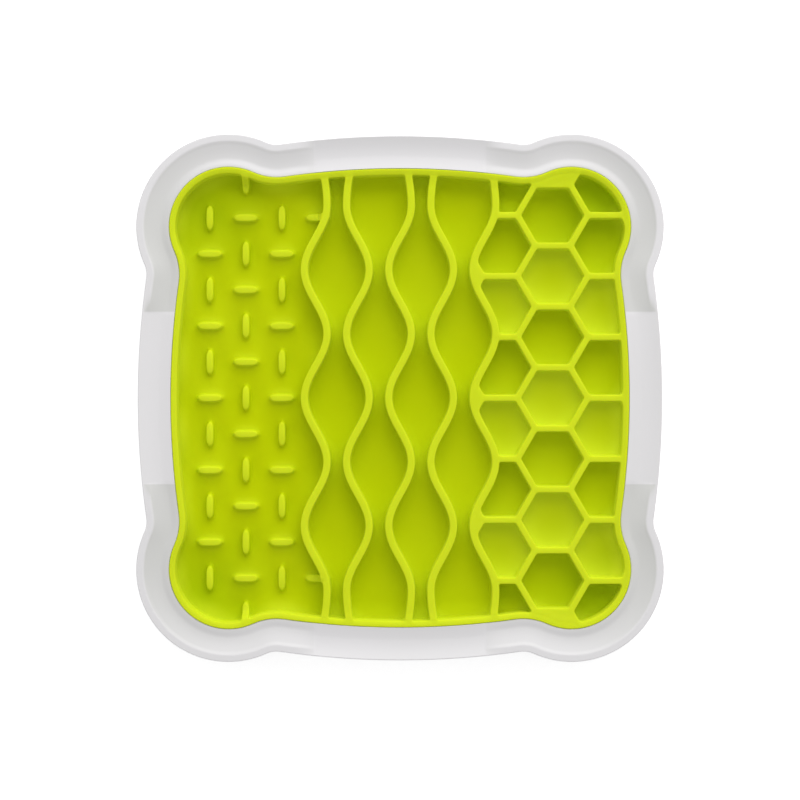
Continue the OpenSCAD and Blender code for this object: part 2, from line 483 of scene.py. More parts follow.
def heading(a: Array, b: Array) -> float:
    """Returns the direction from one point to another, in degrees."""
    return math.degrees(math.atan2(b[1] - a[1], b[0] - a[0]))


def arc(centre: Array, r: float, start: float, end: float, longest: float, outward: int) -> list:
    """Walks along an arc.

    Args:
        centre: The arc's centre.
        r: Its radius.
        start: The direction of its first point, in degrees.
        end: The direction up to which it runs; the next arc's first point lies there.
        longest: The longest step.
        outward: 1 where the outline bulges and -1 where it is hollow.

    Returns:
        Pairs of a point and its outward normal.
    """
    count = max(1, math.ceil(abs(math.radians(end - start)) * r / longest))
    angles = np.radians(start + (end - start) * np.arange(count) / count)
    rays = np.stack([np.cos(angles), np.sin(angles)], 1)
    return [(centre + r * ray, outward * ray) for ray in rays]


@dataclass(frozen=True)
class Outline:
    """The lobed square: a bowed side, a small hollow and a corner lobe, in eight mirrored parts.

    Each arc is tangent to the next. A ledge reaches ledge_half_l to both sides of a side's middle,
    and its ends slope down over ledge_slope_l.
    """

    span: float = 200.0
    lobe_r: float = 35.1
    side_sink: float = 0.6
    side_r: float = 322.0
    notch_r: float = 9.0
    ledge_half_l: float = 32.4
    ledge_slope_l: float = 10.0
    ledge_power: float = 2.5
    ledge_margin: float = 0.5

    @property
    def lobe_c(self) -> float:
        """Returns how far a lobe's centre lies from either middle line."""
        return self.span / 2 - self.lobe_r

    @property
    def centres(self) -> tuple[Array, Array, Array]:
        """Finds the arcs' centres.

        Returns:
            The centres of the back side, the hollow beside it and the back right lobe.
        """
        side = np.array([0.0, self.span / 2 - self.side_sink - self.side_r])
        lobe = np.array([self.lobe_c, self.lobe_c])
        near, far = self.side_r + self.notch_r, self.lobe_r + self.notch_r
        gap = float(np.hypot(*(lobe - side)))
        along = (near * near - far * far + gap * gap) / (2 * gap)
        across = math.sqrt(near * near - along * along)
        u = (lobe - side) / gap
        return side, side + along * u + across * np.array([-u[1], u[0]]), lobe

    def depth(self, x: Array, y: Array) -> Array:
        """Measures how far points lie inside the outline.

        Args:
            x: Their places across.
            y: Their places along.

        Returns:
            The distances, positive inside.
        """
        side, notch, lobe = self.centres
        p, q = np.minimum(abs(x), abs(y)), np.maximum(abs(x), abs(y))
        beyond_side = (notch[0] - side[0]) * (q - side[1]) - (notch[1] - side[1]) * (p - side[0]) < 0
        in_lobe = (notch[0] - lobe[0]) * (q - lobe[1]) - (notch[1] - lobe[1]) * (p - lobe[0]) < 0
        from_side = self.side_r - np.hypot(p - side[0], q - side[1])
        from_notch = np.hypot(p - notch[0], q - notch[1]) - self.notch_r
        from_lobe = self.lobe_r - np.hypot(p - lobe[0], q - lobe[1])
        return np.where(in_lobe, from_lobe, np.where(beyond_side, from_notch, from_side))

    def bearing(self, distance: float) -> float:
        """Returns the direction in which a side lies at a distance from its middle, in degrees."""
        return 90.0 - math.degrees(math.asin(distance / self.side_r))

    def stations(self, step: float) -> tuple[Array, Array]:
        """Walks once round the outline, clockwise seen from above.

        Args:
            step: The longest step on the lobes; hollows and ledge ends take shorter ones.

        Returns:
            The points and their outward normals.
        """
        side, notch, lobe = self.centres
        start = self.bearing(self.ledge_half_l - self.ledge_margin)
        stop = self.bearing(self.ledge_half_l + self.ledge_slope_l)
        end = heading(side, notch)
        eighth = (
            arc(side, self.side_r, 90.0, start, 2 * step, 1)
            + arc(side, self.side_r, start, stop, step / 5, 1)
            + arc(side, self.side_r, stop, end, step, 1)
            + arc(notch, self.notch_r, end - 180.0, heading(notch, lobe), step / 2, -1)
            + arc(lobe, self.lobe_r, heading(lobe, notch), 45.0, step, 1)
        )
        diagonal = np.array([1.0, 1.0]) / math.sqrt(2)
        mirrored = [(p[::-1], n[::-1]) for p, n in eighth[:0:-1]]
        quarter = eighth + [(lobe + self.lobe_r * diagonal, diagonal)] + mirrored
        points, normals = [np.array(part) for part in zip(*quarter)]
        quarter_turn = np.array([[0, -1], [1, 0]])
        turns = [np.linalg.matrix_power(quarter_turn, k) for k in range(4)]
        return np.concatenate([points @ t for t in turns]), np.concatenate([normals @ t for t in turns])

    def corner_share(self, points: Array) -> Array:
        """Tells ledges from the deep gutter round the corners.

        Args:
            points: Points on the outline.

        Returns:
            0 over a ledge and 1 round a corner, with a slope between.
        """
        nearer = np.minimum(abs(points[:, 0]), abs(points[:, 1]))
        over = np.clip((nearer - self.ledge_half_l) / self.ledge_slope_l, 0.0, 1.0)
        return 1.0 - (1.0 - over) ** self.ledge_power


@dataclass(frozen=True)
class DashField:
    """Short bars, across and along by turns like a basket weave, left of the first wave rib.

    They stay low_by below the ribs, and their ends are halves of an ellipse end_share as wide as
    long. The floor rises by hump under those that lie across, and by swell round each.
    """

    pitch: float = 13.75
    length: float = 8.9
    width: float = 2.5
    middle_x: float = 58.8
    rows: int = 5
    end_share: float = 0.5
    low_by: float = 4.4
    crest_drop: float = 0.5
    past_end: float = 1.2
    hump: float = 1.4
    swell: float = 0.3
    swell_w: float = 2.4

    def places(self) -> list[tuple[int, int]]:
        """Lists the dashes: three columns, one more dash at either end, and two beside the first rib.

        Returns:
            The dashes' columns and rows.
        """
        grid = [(column, row) for column in (-1, 0, 1) for row in range(-self.rows, self.rows + 1)]
        ends = [(0, side * (self.rows + 1)) for side in (-1, 1)]
        return grid + ends + [(2, side * self.rows) for side in (-1, 1)]

    def measure(self, x: Array, y: Array) -> tuple[Array, Array]:
        """Measures the way to the nearest dash.

        Args:
            x: Places across.
            y: Places along.

        Returns:
            The gap, negative inside a dash, and how far towards that dash's end each point lies.
        """
        gap = np.full(np.shape(x), FAR)
        towards_end = np.zeros(np.shape(x))
        half_w = self.width / 2
        straight = self.length / 2 - half_w / self.end_share
        for column, row in self.places():
            u, v = x - (column * self.pitch - self.middle_x), y - row * self.pitch
            if (column + row) % 2 == 0:
                u, v = v, u
            own = np.hypot(np.maximum(abs(u) - straight, 0.0) * self.end_share, v) - half_w
            share = np.minimum(abs(u) / (self.length / 2), self.past_end)
            nearer = own < gap
            gap = np.where(nearer, own, gap)
            towards_end = np.where(nearer, share, towards_end)
        return gap, towards_end

    def floor(self, x: Array, y: Array) -> Array:
        """Shapes the floor into soft humps under the dashes that lie across.

        Args:
            x: Places across.
            y: Places along.

        Returns:
            How far the floor rises.
        """
        turn = math.pi / self.pitch
        hump = self.hump * (0.5 - 0.5 * np.cos(turn * (x + self.middle_x)) * np.cos(turn * y))
        return hump + self.swell * ease(1.0 - self.measure(x, y)[0] / self.swell_w)


@dataclass(frozen=True)
class WaveField:
    """Five wave ribs that swing opposite ways by turns, with bowls between them.

    The floor rises by saddle at the necks between two bowls and by bowl towards the ribs. Past its
    last crests a rib runs along its wave at end_share of the pace.
    """

    pitch: float = 16.0
    swing: float = 4.3
    wave_l: float = 48.6
    width: float = 2.7
    saddle: float = 1.4
    bowl: float = 1.8
    neck_power: float = 1.5
    bowl_power: int = 3
    ribs: tuple[int, ...] = (-2, -1, 0, 1, 2)
    crest_waves: float = 1.5
    end_share: float = 0.5

    @property
    def last_crest_y(self) -> float:
        """Returns how far from the middle the ribs' last crests lie."""
        return self.crest_waves * self.wave_l

    def run(self, y: Array) -> Array:
        """Returns how far along its wave a rib is at y; past its last crests it straightens out."""
        over = np.maximum(0.0, abs(y) - self.last_crest_y)
        return abs(y) - over * (1.0 - self.end_share)

    def line(self, rib: int, y: Array) -> Array:
        """Returns a rib's middle line at y."""
        way = -1.0 if rib % 2 == 0 else 1.0
        return rib * self.pitch + way * self.swing * np.cos(2 * math.pi * self.run(y) / self.wave_l)

    def stretch(self, y: Array) -> Array:
        """Compares a rib's own length with its length along Y.

        Args:
            y: Places along.

        Returns:
            The length of the rib per length along Y.
        """
        slope = self.swing * 2 * math.pi / self.wave_l * np.sin(2 * math.pi * self.run(y) / self.wave_l)
        slope = np.where(abs(y) > self.last_crest_y, slope * self.end_share, slope)
        return np.sqrt(1.0 + slope * slope)

    def gap(self, x: Array, y: Array) -> Array:
        """Measures the way to the nearest rib.

        Args:
            x: Places across.
            y: Places along.

        Returns:
            The gap, negative inside a rib.
        """
        stretch = self.stretch(y)
        gaps = [abs(x - self.line(rib, y)) / stretch for rib in self.ribs]
        return np.minimum.reduce(gaps) - self.width / 2

    def floor(self, x: Array, y: Array) -> Array:
        """Shapes the floor into bowls that rise towards the ribs and at the necks between them.

        Args:
            x: Places across.
            y: Places along.

        Returns:
            How far the floor rises.
        """
        rise = np.zeros(np.shape(x))
        widest, narrowest = self.pitch / 2 + self.swing, self.pitch / 2 - self.swing
        for rib in self.ribs[:-1]:
            left, right = self.line(rib, y), self.line(rib + 1, y)
            half = (right - left) / 2
            aside = (x - (left + right) / 2) / half
            neck = (widest - half) / (widest - narrowest)
            own = self.saddle * neck**self.neck_power + self.bowl * abs(aside) ** self.bowl_power
            rise = np.where((x >= left) & (x < right), own, rise)
        return rise


@dataclass(frozen=True)
class Honeycomb:
    """Three columns of six-sided cells, right of the last wave rib.

    A raised floor lies step above the others, and every floor rises by bowl towards its ribs.
    """

    pitch: float = 23.1
    rib_w: float = 2.3
    middle_x: float = 57.9
    rows: int = 3
    step: float = 2.0
    corner_blend: float = 0.7
    bowl: float = 1.7
    bowl_sink: float = 0.4
    bowl_limit: float = 1.3

    def cells(self) -> list[tuple[float, float, bool]]:
        """Lists the cells; every second row of whole ones is raised.

        Returns:
            Each cell's centre and whether its floor is raised.
        """
        column_x = self.pitch * math.sqrt(3) / 2
        middle = [(0, float(row)) for row in range(-self.rows, self.rows + 1)]
        sides = [(c, row + 0.5) for c in (-1, 1) for row in range(-self.rows - 1, self.rows + 1)]
        cells = []
        for column, row in middle + sides:
            raised = math.floor(row + 0.5) % 2 == 0 and abs(row) < self.rows
            cells.append((self.middle_x + column * column_x, row * self.pitch, raised))
        return cells

    def measure(self, x: Array, y: Array) -> tuple[Array, Array]:
        """Measures the way to the nearest rib and the cells' floors.

        Args:
            x: Places across.
            y: Places along.

        Returns:
            The gap, negative inside a rib, and how far the floor rises.
        """
        gap = np.full(np.shape(x), -FAR)
        rise = np.zeros(np.shape(x))
        inner = (self.pitch - self.rib_w) / 2
        for cx, cy, raised in self.cells():
            u, v = x - cx, y - cy
            slant = math.sqrt(3) / 2 * u
            reach = blend_max(abs(slant + v / 2), abs(slant - v / 2), self.corner_blend)
            own = inner - blend_max(abs(v), reach, self.corner_blend)
            bowl = self.bowl * np.minimum((u * u + v * v) / inner**2, self.bowl_limit) - self.bowl_sink
            nearer = own > gap
            rise = np.where(nearer, bowl + (self.step if raised else 0.0), rise)
            gap = np.where(nearer, own, gap)
        return gap, rise


# Mesh building


def contour_loops(values: Array, start: float, step: float) -> list[Array]:
    """Traces the zero line of a square grid of values.

    Args:
        values: The grid, rows along Y and columns along X.
        start: The first place on both axes.
        step: The grid's step.

    Returns:
        Closed loops of points.
    """
    below = values < 0
    size = values.shape[0]
    flat = values.ravel()

    def crossings(a: Array, b: Array) -> dict[int, Point]:
        """Finds where the zero line crosses grid edges.

        Args:
            a: The numbers of the edges' first corners.
            b: The numbers of their last corners.

        Returns:
            The crossings by first corner.
        """
        share = flat[a] / (flat[a] - flat[b])
        px = a % size + share * (b % size - a % size)
        py = a // size + share * (b // size - a // size)
        return {int(i): (start + float(u) * step, start + float(v) * step) for i, u, v in zip(a, px, py)}

    index = np.arange(size * size).reshape(size, size)
    across = index[:, :-1][below[:, :-1] != below[:, 1:]]
    along = index[:-1][below[:-1] != below[1:]]
    points = {(i, 0): p for i, p in crossings(across, across + 1).items()}
    points.update({(i, 1): p for i, p in crossings(along, along + size).items()})

    links: dict[tuple[int, int], list[tuple[int, int]]] = {key: [] for key in points}
    corners = below[:-1, :-1] * 1 + below[:-1, 1:] * 1 + below[1:, :-1] * 1 + below[1:, 1:] * 1
    for i in index[:-1, :-1][(corners > 0) & (corners < 4)]:
        i = int(i)
        met = [key for key in ((i, 0), (i + 1, 1), (i + size, 0), (i, 1)) if key in links]
        for a, b in zip(met[::2], met[1::2]):
            links[a].append(b)
            links[b].append(a)

    loops, seen = [], set()
    for first in links:
        if first in seen:
            continue
        loop, here = [], first
        while here is not None:
            seen.add(here)
            loop.append(points[here])
            here = next((key for key in links[here] if key not in seen), None)
        loops.append(np.array(loop))
    return loops


def respaced(loop: Array, finest: float, widest: float, turn: float) -> Array:
    """Spaces a loop's points by its bends.

    Args:
        loop: A closed loop of close points.
        finest: The shortest step.
        widest: The longest step.
        turn: The angle that a step may turn, in radians.

    Returns:
        The loop with fewer points, closer where it bends.
    """
    reach, passes, fewest = 3, 3, 8
    before, after = np.roll(loop, reach, 0), np.roll(loop, -reach, 0)
    a, b = loop - before, after - loop
    angle = abs(np.arctan2(a[:, 0] * b[:, 1] - a[:, 1] * b[:, 0], (a * b).sum(1)))
    length = (np.hypot(*a.T) + np.hypot(*b.T)) / 2
    wanted = np.clip(turn * length / np.maximum(angle, TINY), finest, widest)
    density = 1.0 / wanted
    for _ in range(passes):
        density = np.maximum(density, (np.roll(density, 1) + density + np.roll(density, -1)) / 3)
    spans = np.hypot(*(np.roll(loop, -1, 0) - loop).T)
    run = np.concatenate([[0.0], np.cumsum(spans * (density + np.roll(density, -1)) / 2)])
    count = max(fewest, round(run[-1]))
    closed = np.concatenate([loop, loop[:1]])
    marks = np.arange(count) * run[-1] / count
    return np.stack([np.interp(marks, run, closed[:, k]) for k in (0, 1)], 1)


def make_mesh(name: str, points: Array, faces: list[tuple[int, ...]]) -> bpy.types.Object:
    """Makes an object of a closed mesh.

    Args:
        name: The object's name.
        points: Its points in millimetres.
        faces: Its faces.

    Returns:
        The object, with its normals outward.
    """
    mesh = bpy.data.meshes.new(name)
    mesh.from_pydata((points * MM).tolist(), [], faces)
    mesh.validate()
    made = bpy.data.objects.new(name, mesh)
    bpy.context.scene.collection.objects.link(made)
    select_only(made)
    bpy.ops.object.mode_set(mode="EDIT")
    bpy.ops.mesh.select_all(action="SELECT")
    bpy.ops.mesh.normals_make_consistent(inside=False)
    bpy.ops.object.mode_set(mode="OBJECT")
    return made


def select_only(piece: bpy.types.Object) -> None:
    """Makes a piece the active one and the only selected one.

    Args:
        piece: The piece.
    """
    bpy.ops.object.select_all(action="DESELECT")
    piece.select_set(True)
    bpy.context.view_layer.objects.active = piece


def ring_faces(first: int, rings: int, count: int) -> list[tuple[int, ...]]:
    """Joins rings of points that follow each other.

    Args:
        first: The number of the first ring's first point.
        rings: How many rings there are.
        count: How many points a ring has.

    Returns:
        The faces between neighbouring rings.
    """
    faces = []
    for ring in range(rings - 1):
        a, b = first + ring * count, first + (ring + 1) * count
        faces += [(a + i, a + (i + 1) % count, b + (i + 1) % count, b + i) for i in range(count)]
    return faces


def loop_steps(starts: Array) -> Array:
    """Joins each point of some closed loops to the next.

    Args:
        starts: The numbers of the loops' first points, and the number after the last point.

    Returns:
        Pairs of point numbers.
    """
    here = np.arange(starts[-1])
    after = here + 1
    after[starts[1:] - 1] = starts[:-1]
    return np.column_stack([here, after])


def regions(triangles: Array, bound: set[tuple[int, int]]) -> Array:
    """Groups triangles that share an edge which isn't a bounding one.

    Args:
        triangles: The triangles' corners.
        bound: The bounding edges, with the lower number first.

    Returns:
        Each triangle's group.
    """
    parent = list(range(len(triangles)))

    def root(i: int) -> int:
        """Follows a triangle to the one that its group is named after.

        Args:
            i: The triangle.

        Returns:
            The group's own triangle.
        """
        while parent[i] != i:
            parent[i] = parent[parent[i]]
            i = parent[i]
        return i

    owner: dict[tuple[int, int], int] = {}
    for t, corners in enumerate(triangles.tolist()):
        for a, b in zip(corners, corners[1:] + corners[:1]):
            key = (min(a, b), max(a, b))
            if key in bound:
                continue
            if key in owner:
                parent[root(t)] = root(owner[key])
            else:
                owner[key] = t
    return np.array([root(t) for t in range(len(triangles))])


def quarter_round(start: Point, end: Point, steps: int, upright_first: bool) -> list[Point]:
    """Rounds a corner of a section.

    Args:
        start: The first point's inset and height.
        end: The last point's inset and height.
        steps: The steps between them.
        upright_first: Whether the curve starts upright, and not level.

    Returns:
        The points from start to end.
    """
    made = []
    for i in range(steps + 1):
        a = math.pi / 2 * i / steps
        u, v = (1 - math.cos(a), math.sin(a)) if upright_first else (math.sin(a), 1 - math.cos(a))
        made.append((start[0] + (end[0] - start[0]) * u, start[1] + (end[1] - start[1]) * v))
    return made


@dataclass(frozen=True)
class Scatter:
    """Points spread where the gaps to the ribs and to the rim lie between limits."""

    pitch: float
    gap_from: float = -math.inf
    gap_to: float = math.inf
    wall_from: float = -math.inf
    wall_to: float = math.inf

    def lattice(self, reach: float) -> tuple[Array, Array]:
        """Spreads points evenly over a square.

        Args:
            reach: How far the square goes from its middle.

        Returns:
            Their places across and along.
        """
        rows = np.arange(-reach, reach, self.pitch * math.sqrt(3) / 2)
        x, y = np.meshgrid(np.arange(-reach, reach, self.pitch), rows)
        x = x + (np.arange(len(rows)) % 2)[:, None] * self.pitch / 2
        return x.ravel(), y.ravel()

    def holds(self, gap: Array, wall: Array) -> Array:
        """Returns which points lie between the limits, from their gaps to the ribs and to the rim."""
        return (gap > self.gap_from) & (gap < self.gap_to) & (wall > self.wall_from) & (wall < self.wall_to)


@dataclass
class Insert:
    """The soft insert: a rounded rim round three fields of ribs on a dished floor.

    Ribs blend over merge where they meet, and climb to the rim's height between climb_from and
    climb_to away from it. A rib's wall leans by draft, and foot_r rounds its foot.
    """

    outline: Outline
    finish: LimeRubber
    inset: float = 12.6
    rim_w: float = 2.25
    rim_round: float = 0.4
    rim_fall: float = 0.7
    rim_swell: float = 1.2
    rim_swell_w: float = 6.0
    under_z: float = 9.8
    under_round: float = 0.8
    floor_z: float = 12.4
    rib_top_z: float = 20.4
    rim_z: float = 21.4
    crest_r: float = 0.3
    draft: float = 0.2
    foot_r: float = 0.8
    merge: float = 0.9
    dash_clear: float = 1.6
    climb_from: float = 3.4
    climb_to: float = 0.1
    grid_step: float = 0.3
    least_loop: int = 12
    finest: float = 0.28
    widest: float = 1.2
    turn: float = 0.26
    outline_step: float = 2.4
    smooth_angle: float = 40.0
    dashes: DashField = field(default_factory=DashField)
    waves: WaveField = field(default_factory=WaveField)
    comb: Honeycomb = field(default_factory=Honeycomb)

    def wall_gap(self, x: Array, y: Array) -> Array:
        """Returns the gap to the rim's inner wall, negative inside the rim."""
        return self.outline.depth(x, y) - (self.inset + self.rim_w)

    def gap(self, x: Array, y: Array) -> Array:
        """Measures the way to whatever stands on the floor.

        Args:
            x: Places across.
            y: Places along.

        Returns:
            The gap to the nearest rib or wall, negative inside it.
        """
        last = self.waves.line(self.waves.ribs[-1], y)
        comb = np.maximum(self.comb.measure(x, y)[0], last - x)
        ribs = blend_min(self.waves.gap(x, y), comb, self.merge)
        ribs = blend_min(ribs, self.dashes.measure(x, y)[0], self.merge / 2)
        return blend_min(ribs, self.wall_gap(x, y), self.merge)

    def top(self, x: Array, y: Array) -> Array:
        """Gives what stands on the floor its height.

        Args:
            x: Places across.
            y: Places along.

        Returns:
            The height of the dashes, ribs and rim.
        """
        wall_gap = self.wall_gap(x, y)
        climb = ease((self.climb_from - wall_gap) / (self.climb_from - self.climb_to))
        rim_z = self.rim_z - self.rim_fall * ease(1.0 + wall_gap / self.rim_w)
        dash_gap, towards_end = self.dashes.measure(x, y)
        on_dash = ease(1.0 - dash_gap) * ease(self.waves.gap(x, y) / self.dash_clear)
        drop = (self.dashes.low_by + self.dashes.crest_drop * towards_end**2) * on_dash
        return (self.rib_top_z - drop) * (1.0 - climb) + rim_z * climb

    def floor(self, x: Array, y: Array) -> Array:
        """Dishes the floor of each field.

        Args:
            x: Places across.
            y: Places along.

        Returns:
            The floor's height.
        """
        first = self.waves.line(self.waves.ribs[0], y)
        last = self.waves.line(self.waves.ribs[-1], y)
        rise = np.where(x < first, self.dashes.floor(x, y), self.waves.floor(x, y))
        swell = self.rim_swell * ease(1.0 - self.wall_gap(x, y) / self.rim_swell_w)
        return self.floor_z + swell + np.where(x > last, self.comb.measure(x, y)[1], rise)

    def levels(self) -> list[float]:
        """Spaces the rings that follow every rib.

        Returns:
            The gaps at which they run, from the crest's top down to the floor.
        """
        angles = np.radians([0, 30, 60, 90])
        crest = [self.crest_r * (math.sin(a) - 1.0) for a in angles]
        foot = [self.draft + self.foot_r * (1.0 - math.cos(a)) for a in angles]
        return crest + foot

    def height(self, x: Array, y: Array, gap: Array) -> Array:
        """Gives points of the relief their height.

        Args:
            x: Places across.
            y: Places along.
            gap: Their gaps.

        Returns:
            The heights of the relief.
        """
        top, floor = self.top(x, y), self.floor(x, y)
        into = np.clip(gap + self.crest_r, 0.0, self.crest_r)
        crest = top - self.crest_r + np.sqrt(self.crest_r**2 - into**2)
        out = np.clip(self.foot_r - (gap - self.draft), 0.0, self.foot_r)
        foot = floor + self.foot_r - np.sqrt(self.foot_r**2 - out**2)
        share = np.clip(gap / self.draft, 0.0, 1.0)
        wall = (top - self.crest_r) * (1.0 - share) + (floor + self.foot_r) * share
        return np.where(gap <= 0, crest, np.where(gap < self.draft, wall, foot))

    def settle(self, points: Array, level: float) -> Array:
        """Moves points in plan, straight up or down the slope of the gap, until it has a given value.

        Args:
            points: The points.
            level: The gap wanted.

        Returns:
            The moved points.
        """
        feel, longest, flattest, rounds = 0.02, 0.25, 0.05, 8
        moved = points.copy()
        for _ in range(rounds):
            x, y = moved.T
            slope = np.stack([
                self.gap(x + feel, y) - self.gap(x - feel, y),
                self.gap(x, y + feel) - self.gap(x, y - feel),
            ], 1) / (2 * feel)
            steep = np.maximum((slope * slope).sum(1), flattest)
            way = ((level - self.gap(x, y)) / steep)[:, None] * slope
            far = np.maximum(np.hypot(*way.T) / longest, 1.0)
            moved += way / far[:, None]
        return moved

    def scattered(self) -> Array:
        """Spreads points over the floors and the broad tops, for the triangles there to rest on.

        Returns:
            The points.
        """
        top = -self.crest_r
        spreads = (
            Scatter(2.3, gap_from=self.levels()[-1] + 0.9),
            Scatter(1.6, gap_to=top - 0.6, wall_from=-0.5),
            Scatter(0.55, gap_to=top - 0.25, wall_from=-0.4, wall_to=self.climb_from + 0.2),
        )
        made = []
        for spread in spreads:
            x, y = spread.lattice(self.outline.span / 2 - self.inset)
            keep = spread.holds(self.gap(x, y), self.wall_gap(x, y))
            made.append(np.stack([x[keep], y[keep]], 1))
        return np.concatenate(made)

    def lifted(self, points: Array) -> Array:
        """Returns points of the plan with their height on the relief."""
        return np.column_stack([points, self.height(*points.T, self.gap(*points.T))])

    def loops(self) -> list[Array]:
        """Traces the edges of the ribs and of the rim.

        Returns:
            Closed loops of points.
        """
        reach = self.outline.span / 2 - self.inset - self.rim_w / 2
        axis = np.arange(-reach, reach, self.grid_step)
        found = contour_loops(self.gap(*np.meshgrid(axis, axis)), -reach, self.grid_step)
        kept = [loop for loop in found if len(loop) > self.least_loop]
        return [respaced(loop, self.finest, self.widest, self.turn) for loop in kept]

    def rings(self, edge: Array) -> list[Array]:
        """Follows every edge from the crest's top down to the floor.

        Args:
            edge: The points of the edges.

        Returns:
            One ring of points for each of the levels.
        """
        levels = self.levels()
        middle = levels.index(0.0)
        inward = [self.settle(edge, 0.0)]
        outward = inward[:]
        for level in levels[middle - 1::-1]:
            inward.append(self.settle(inward[-1], level))
        for level in levels[middle + 1:]:
            outward.append(self.settle(outward[-1], level))
        return inward[:0:-1] + outward

    def section(self) -> list[Point]:
        """Draws the outside, from the rim down to the underside.

        Returns:
            Insets and heights.
        """
        low = self.under_z + self.under_round
        edge = (self.inset + self.rim_round, self.rim_z)
        return (
            quarter_round(edge, (self.inset, self.rim_z - self.rim_round), 3, False)
            + [(self.inset, low)]
            + quarter_round((self.inset, low), (self.inset + self.under_round, self.under_z), 3, True)[1:]
        )

    def build(self) -> bpy.types.Object:
        """Builds the insert as one closed mesh.

        Its ribs flow into each other, the walls and the dished floor with soft corners, so rings of
        faces follow the foot and the crest of every rib, and triangles fill what lies between.

        Returns:
            The insert.
        """
        loops = self.loops()
        starts = np.cumsum([0] + [len(loop) for loop in loops])
        total = int(starts[-1])
        steps = loop_steps(starts)
        rings = self.rings(np.concatenate(loops))
        log.info("insert: %d loops, %d points each ring, %d rings", len(loops), total, len(rings))
        parts, faces = [], []
        for level, ring in zip(self.levels(), rings):
            parts.append(np.column_stack([ring, self.height(*ring.T, np.full(total, level))]))
        for k in range(len(rings) - 1):
            above, below = steps + k * total, steps + (k + 1) * total
            faces += np.column_stack([above, below[:, ::-1]]).tolist()

        first_outer = len(rings) * total
        points, normals = self.outline.stations(self.outline_step)
        count = len(points)
        section = self.section()
        for inset, z in section:
            parts.append(np.column_stack([points - inset * normals, np.full(count, z)]))
        faces += ring_faces(first_outer, len(section), count)
        last = first_outer + (len(section) - 1) * count
        faces.append(tuple(range(last, last + count)))

        extra = self.scattered()
        first_extra = first_outer + len(section) * count
        parts.append(self.lifted(extra))
        plan = np.concatenate([rings[0], rings[-1], parts[len(rings)][:, :2], extra])
        numbers = np.concatenate([
            np.arange(total), (len(rings) - 1) * total + np.arange(total),
            first_outer + np.arange(count), first_extra + np.arange(len(extra)),
        ])
        outer_steps = loop_steps(np.array([0, count]))
        edges = np.concatenate([steps, steps + total, outer_steps + 2 * total])
        caps, added = self.caps(plan, edges, numbers, first_extra + len(extra))
        if len(added):
            parts.append(self.lifted(added))
        made = make_mesh("insert_dressed", np.concatenate(parts), faces + caps)
        log.info("insert: %d faces, %d crossed edges", len(made.data.polygons), len(added))
        return made

    def caps(self, plan: Array, edges: Array, numbers: Array, next_number: int) -> tuple[list, Array]:
        """Fills the floors and the tops with triangles.

        Args:
            plan: The points to use.
            edges: The edges that bound floors and tops, by place in plan.
            numbers: The points' numbers in the mesh.
            next_number: The number of the first point that is added where edges cross.

        Returns:
            The triangles, and the added points.
        """
        closeness = 1e-5
        found = delaunay_2d_cdt([Vector(p) for p in plan], edges.tolist(), [], 0, closeness, True)
        spots = np.array([tuple(p) for p in found[0]])
        triangles = np.array(found[2])
        bound = {tuple(sorted(edge)) for edge, own in zip(found[1], found[4]) if own}
        group = regions(triangles, bound)
        corners = spots[triangles]
        centre = corners.mean(1)
        u, v = corners[:, 1] - corners[:, 0], corners[:, 2] - corners[:, 0]
        area = abs(u[:, 0] * v[:, 1] - u[:, 1] * v[:, 0]) + TINY
        weight = np.maximum(np.bincount(group, area), TINY)

        def mean(values: Array) -> Array:
            """Returns, for each triangle, the mean of the values in its group by area."""
            return (np.bincount(group, area * values) / weight)[group]

        gap = mean(self.gap(*centre.T))
        inside = mean(self.outline.depth(*centre.T)) > self.inset + self.rim_round
        floor_or_top = (gap < -self.crest_r) | (gap > self.levels()[-1])
        kept = triangles[inside & floor_or_top]
        number = np.empty(len(spots), int)
        added = []
        for i, origin in enumerate(found[3]):
            if origin:
                number[i] = numbers[origin[0]]
            else:
                number[i] = next_number + len(added)
                added.append(spots[i])
        return number[kept].tolist(), np.array(added).reshape(-1, 2)

    def dress(self, piece: bpy.types.Object) -> None:
        """Gives the insert its finish and its place in the frame.

        Args:
            piece: The insert.
        """
        smooth(piece, self.smooth_angle)
        piece.data.materials.append(self.finish.material())
        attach(piece, Body.INSERT.value)
        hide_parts("insert")


def smooth(piece: bpy.types.Object, angle: float) -> None:
    """Shades a piece smooth, except at edges sharper than an angle.

    Args:
        piece: The piece.
        angle: The angle in degrees.
    """
    select_only(piece)
    bpy.ops.object.shade_smooth_by_angle(angle=math.radians(angle))


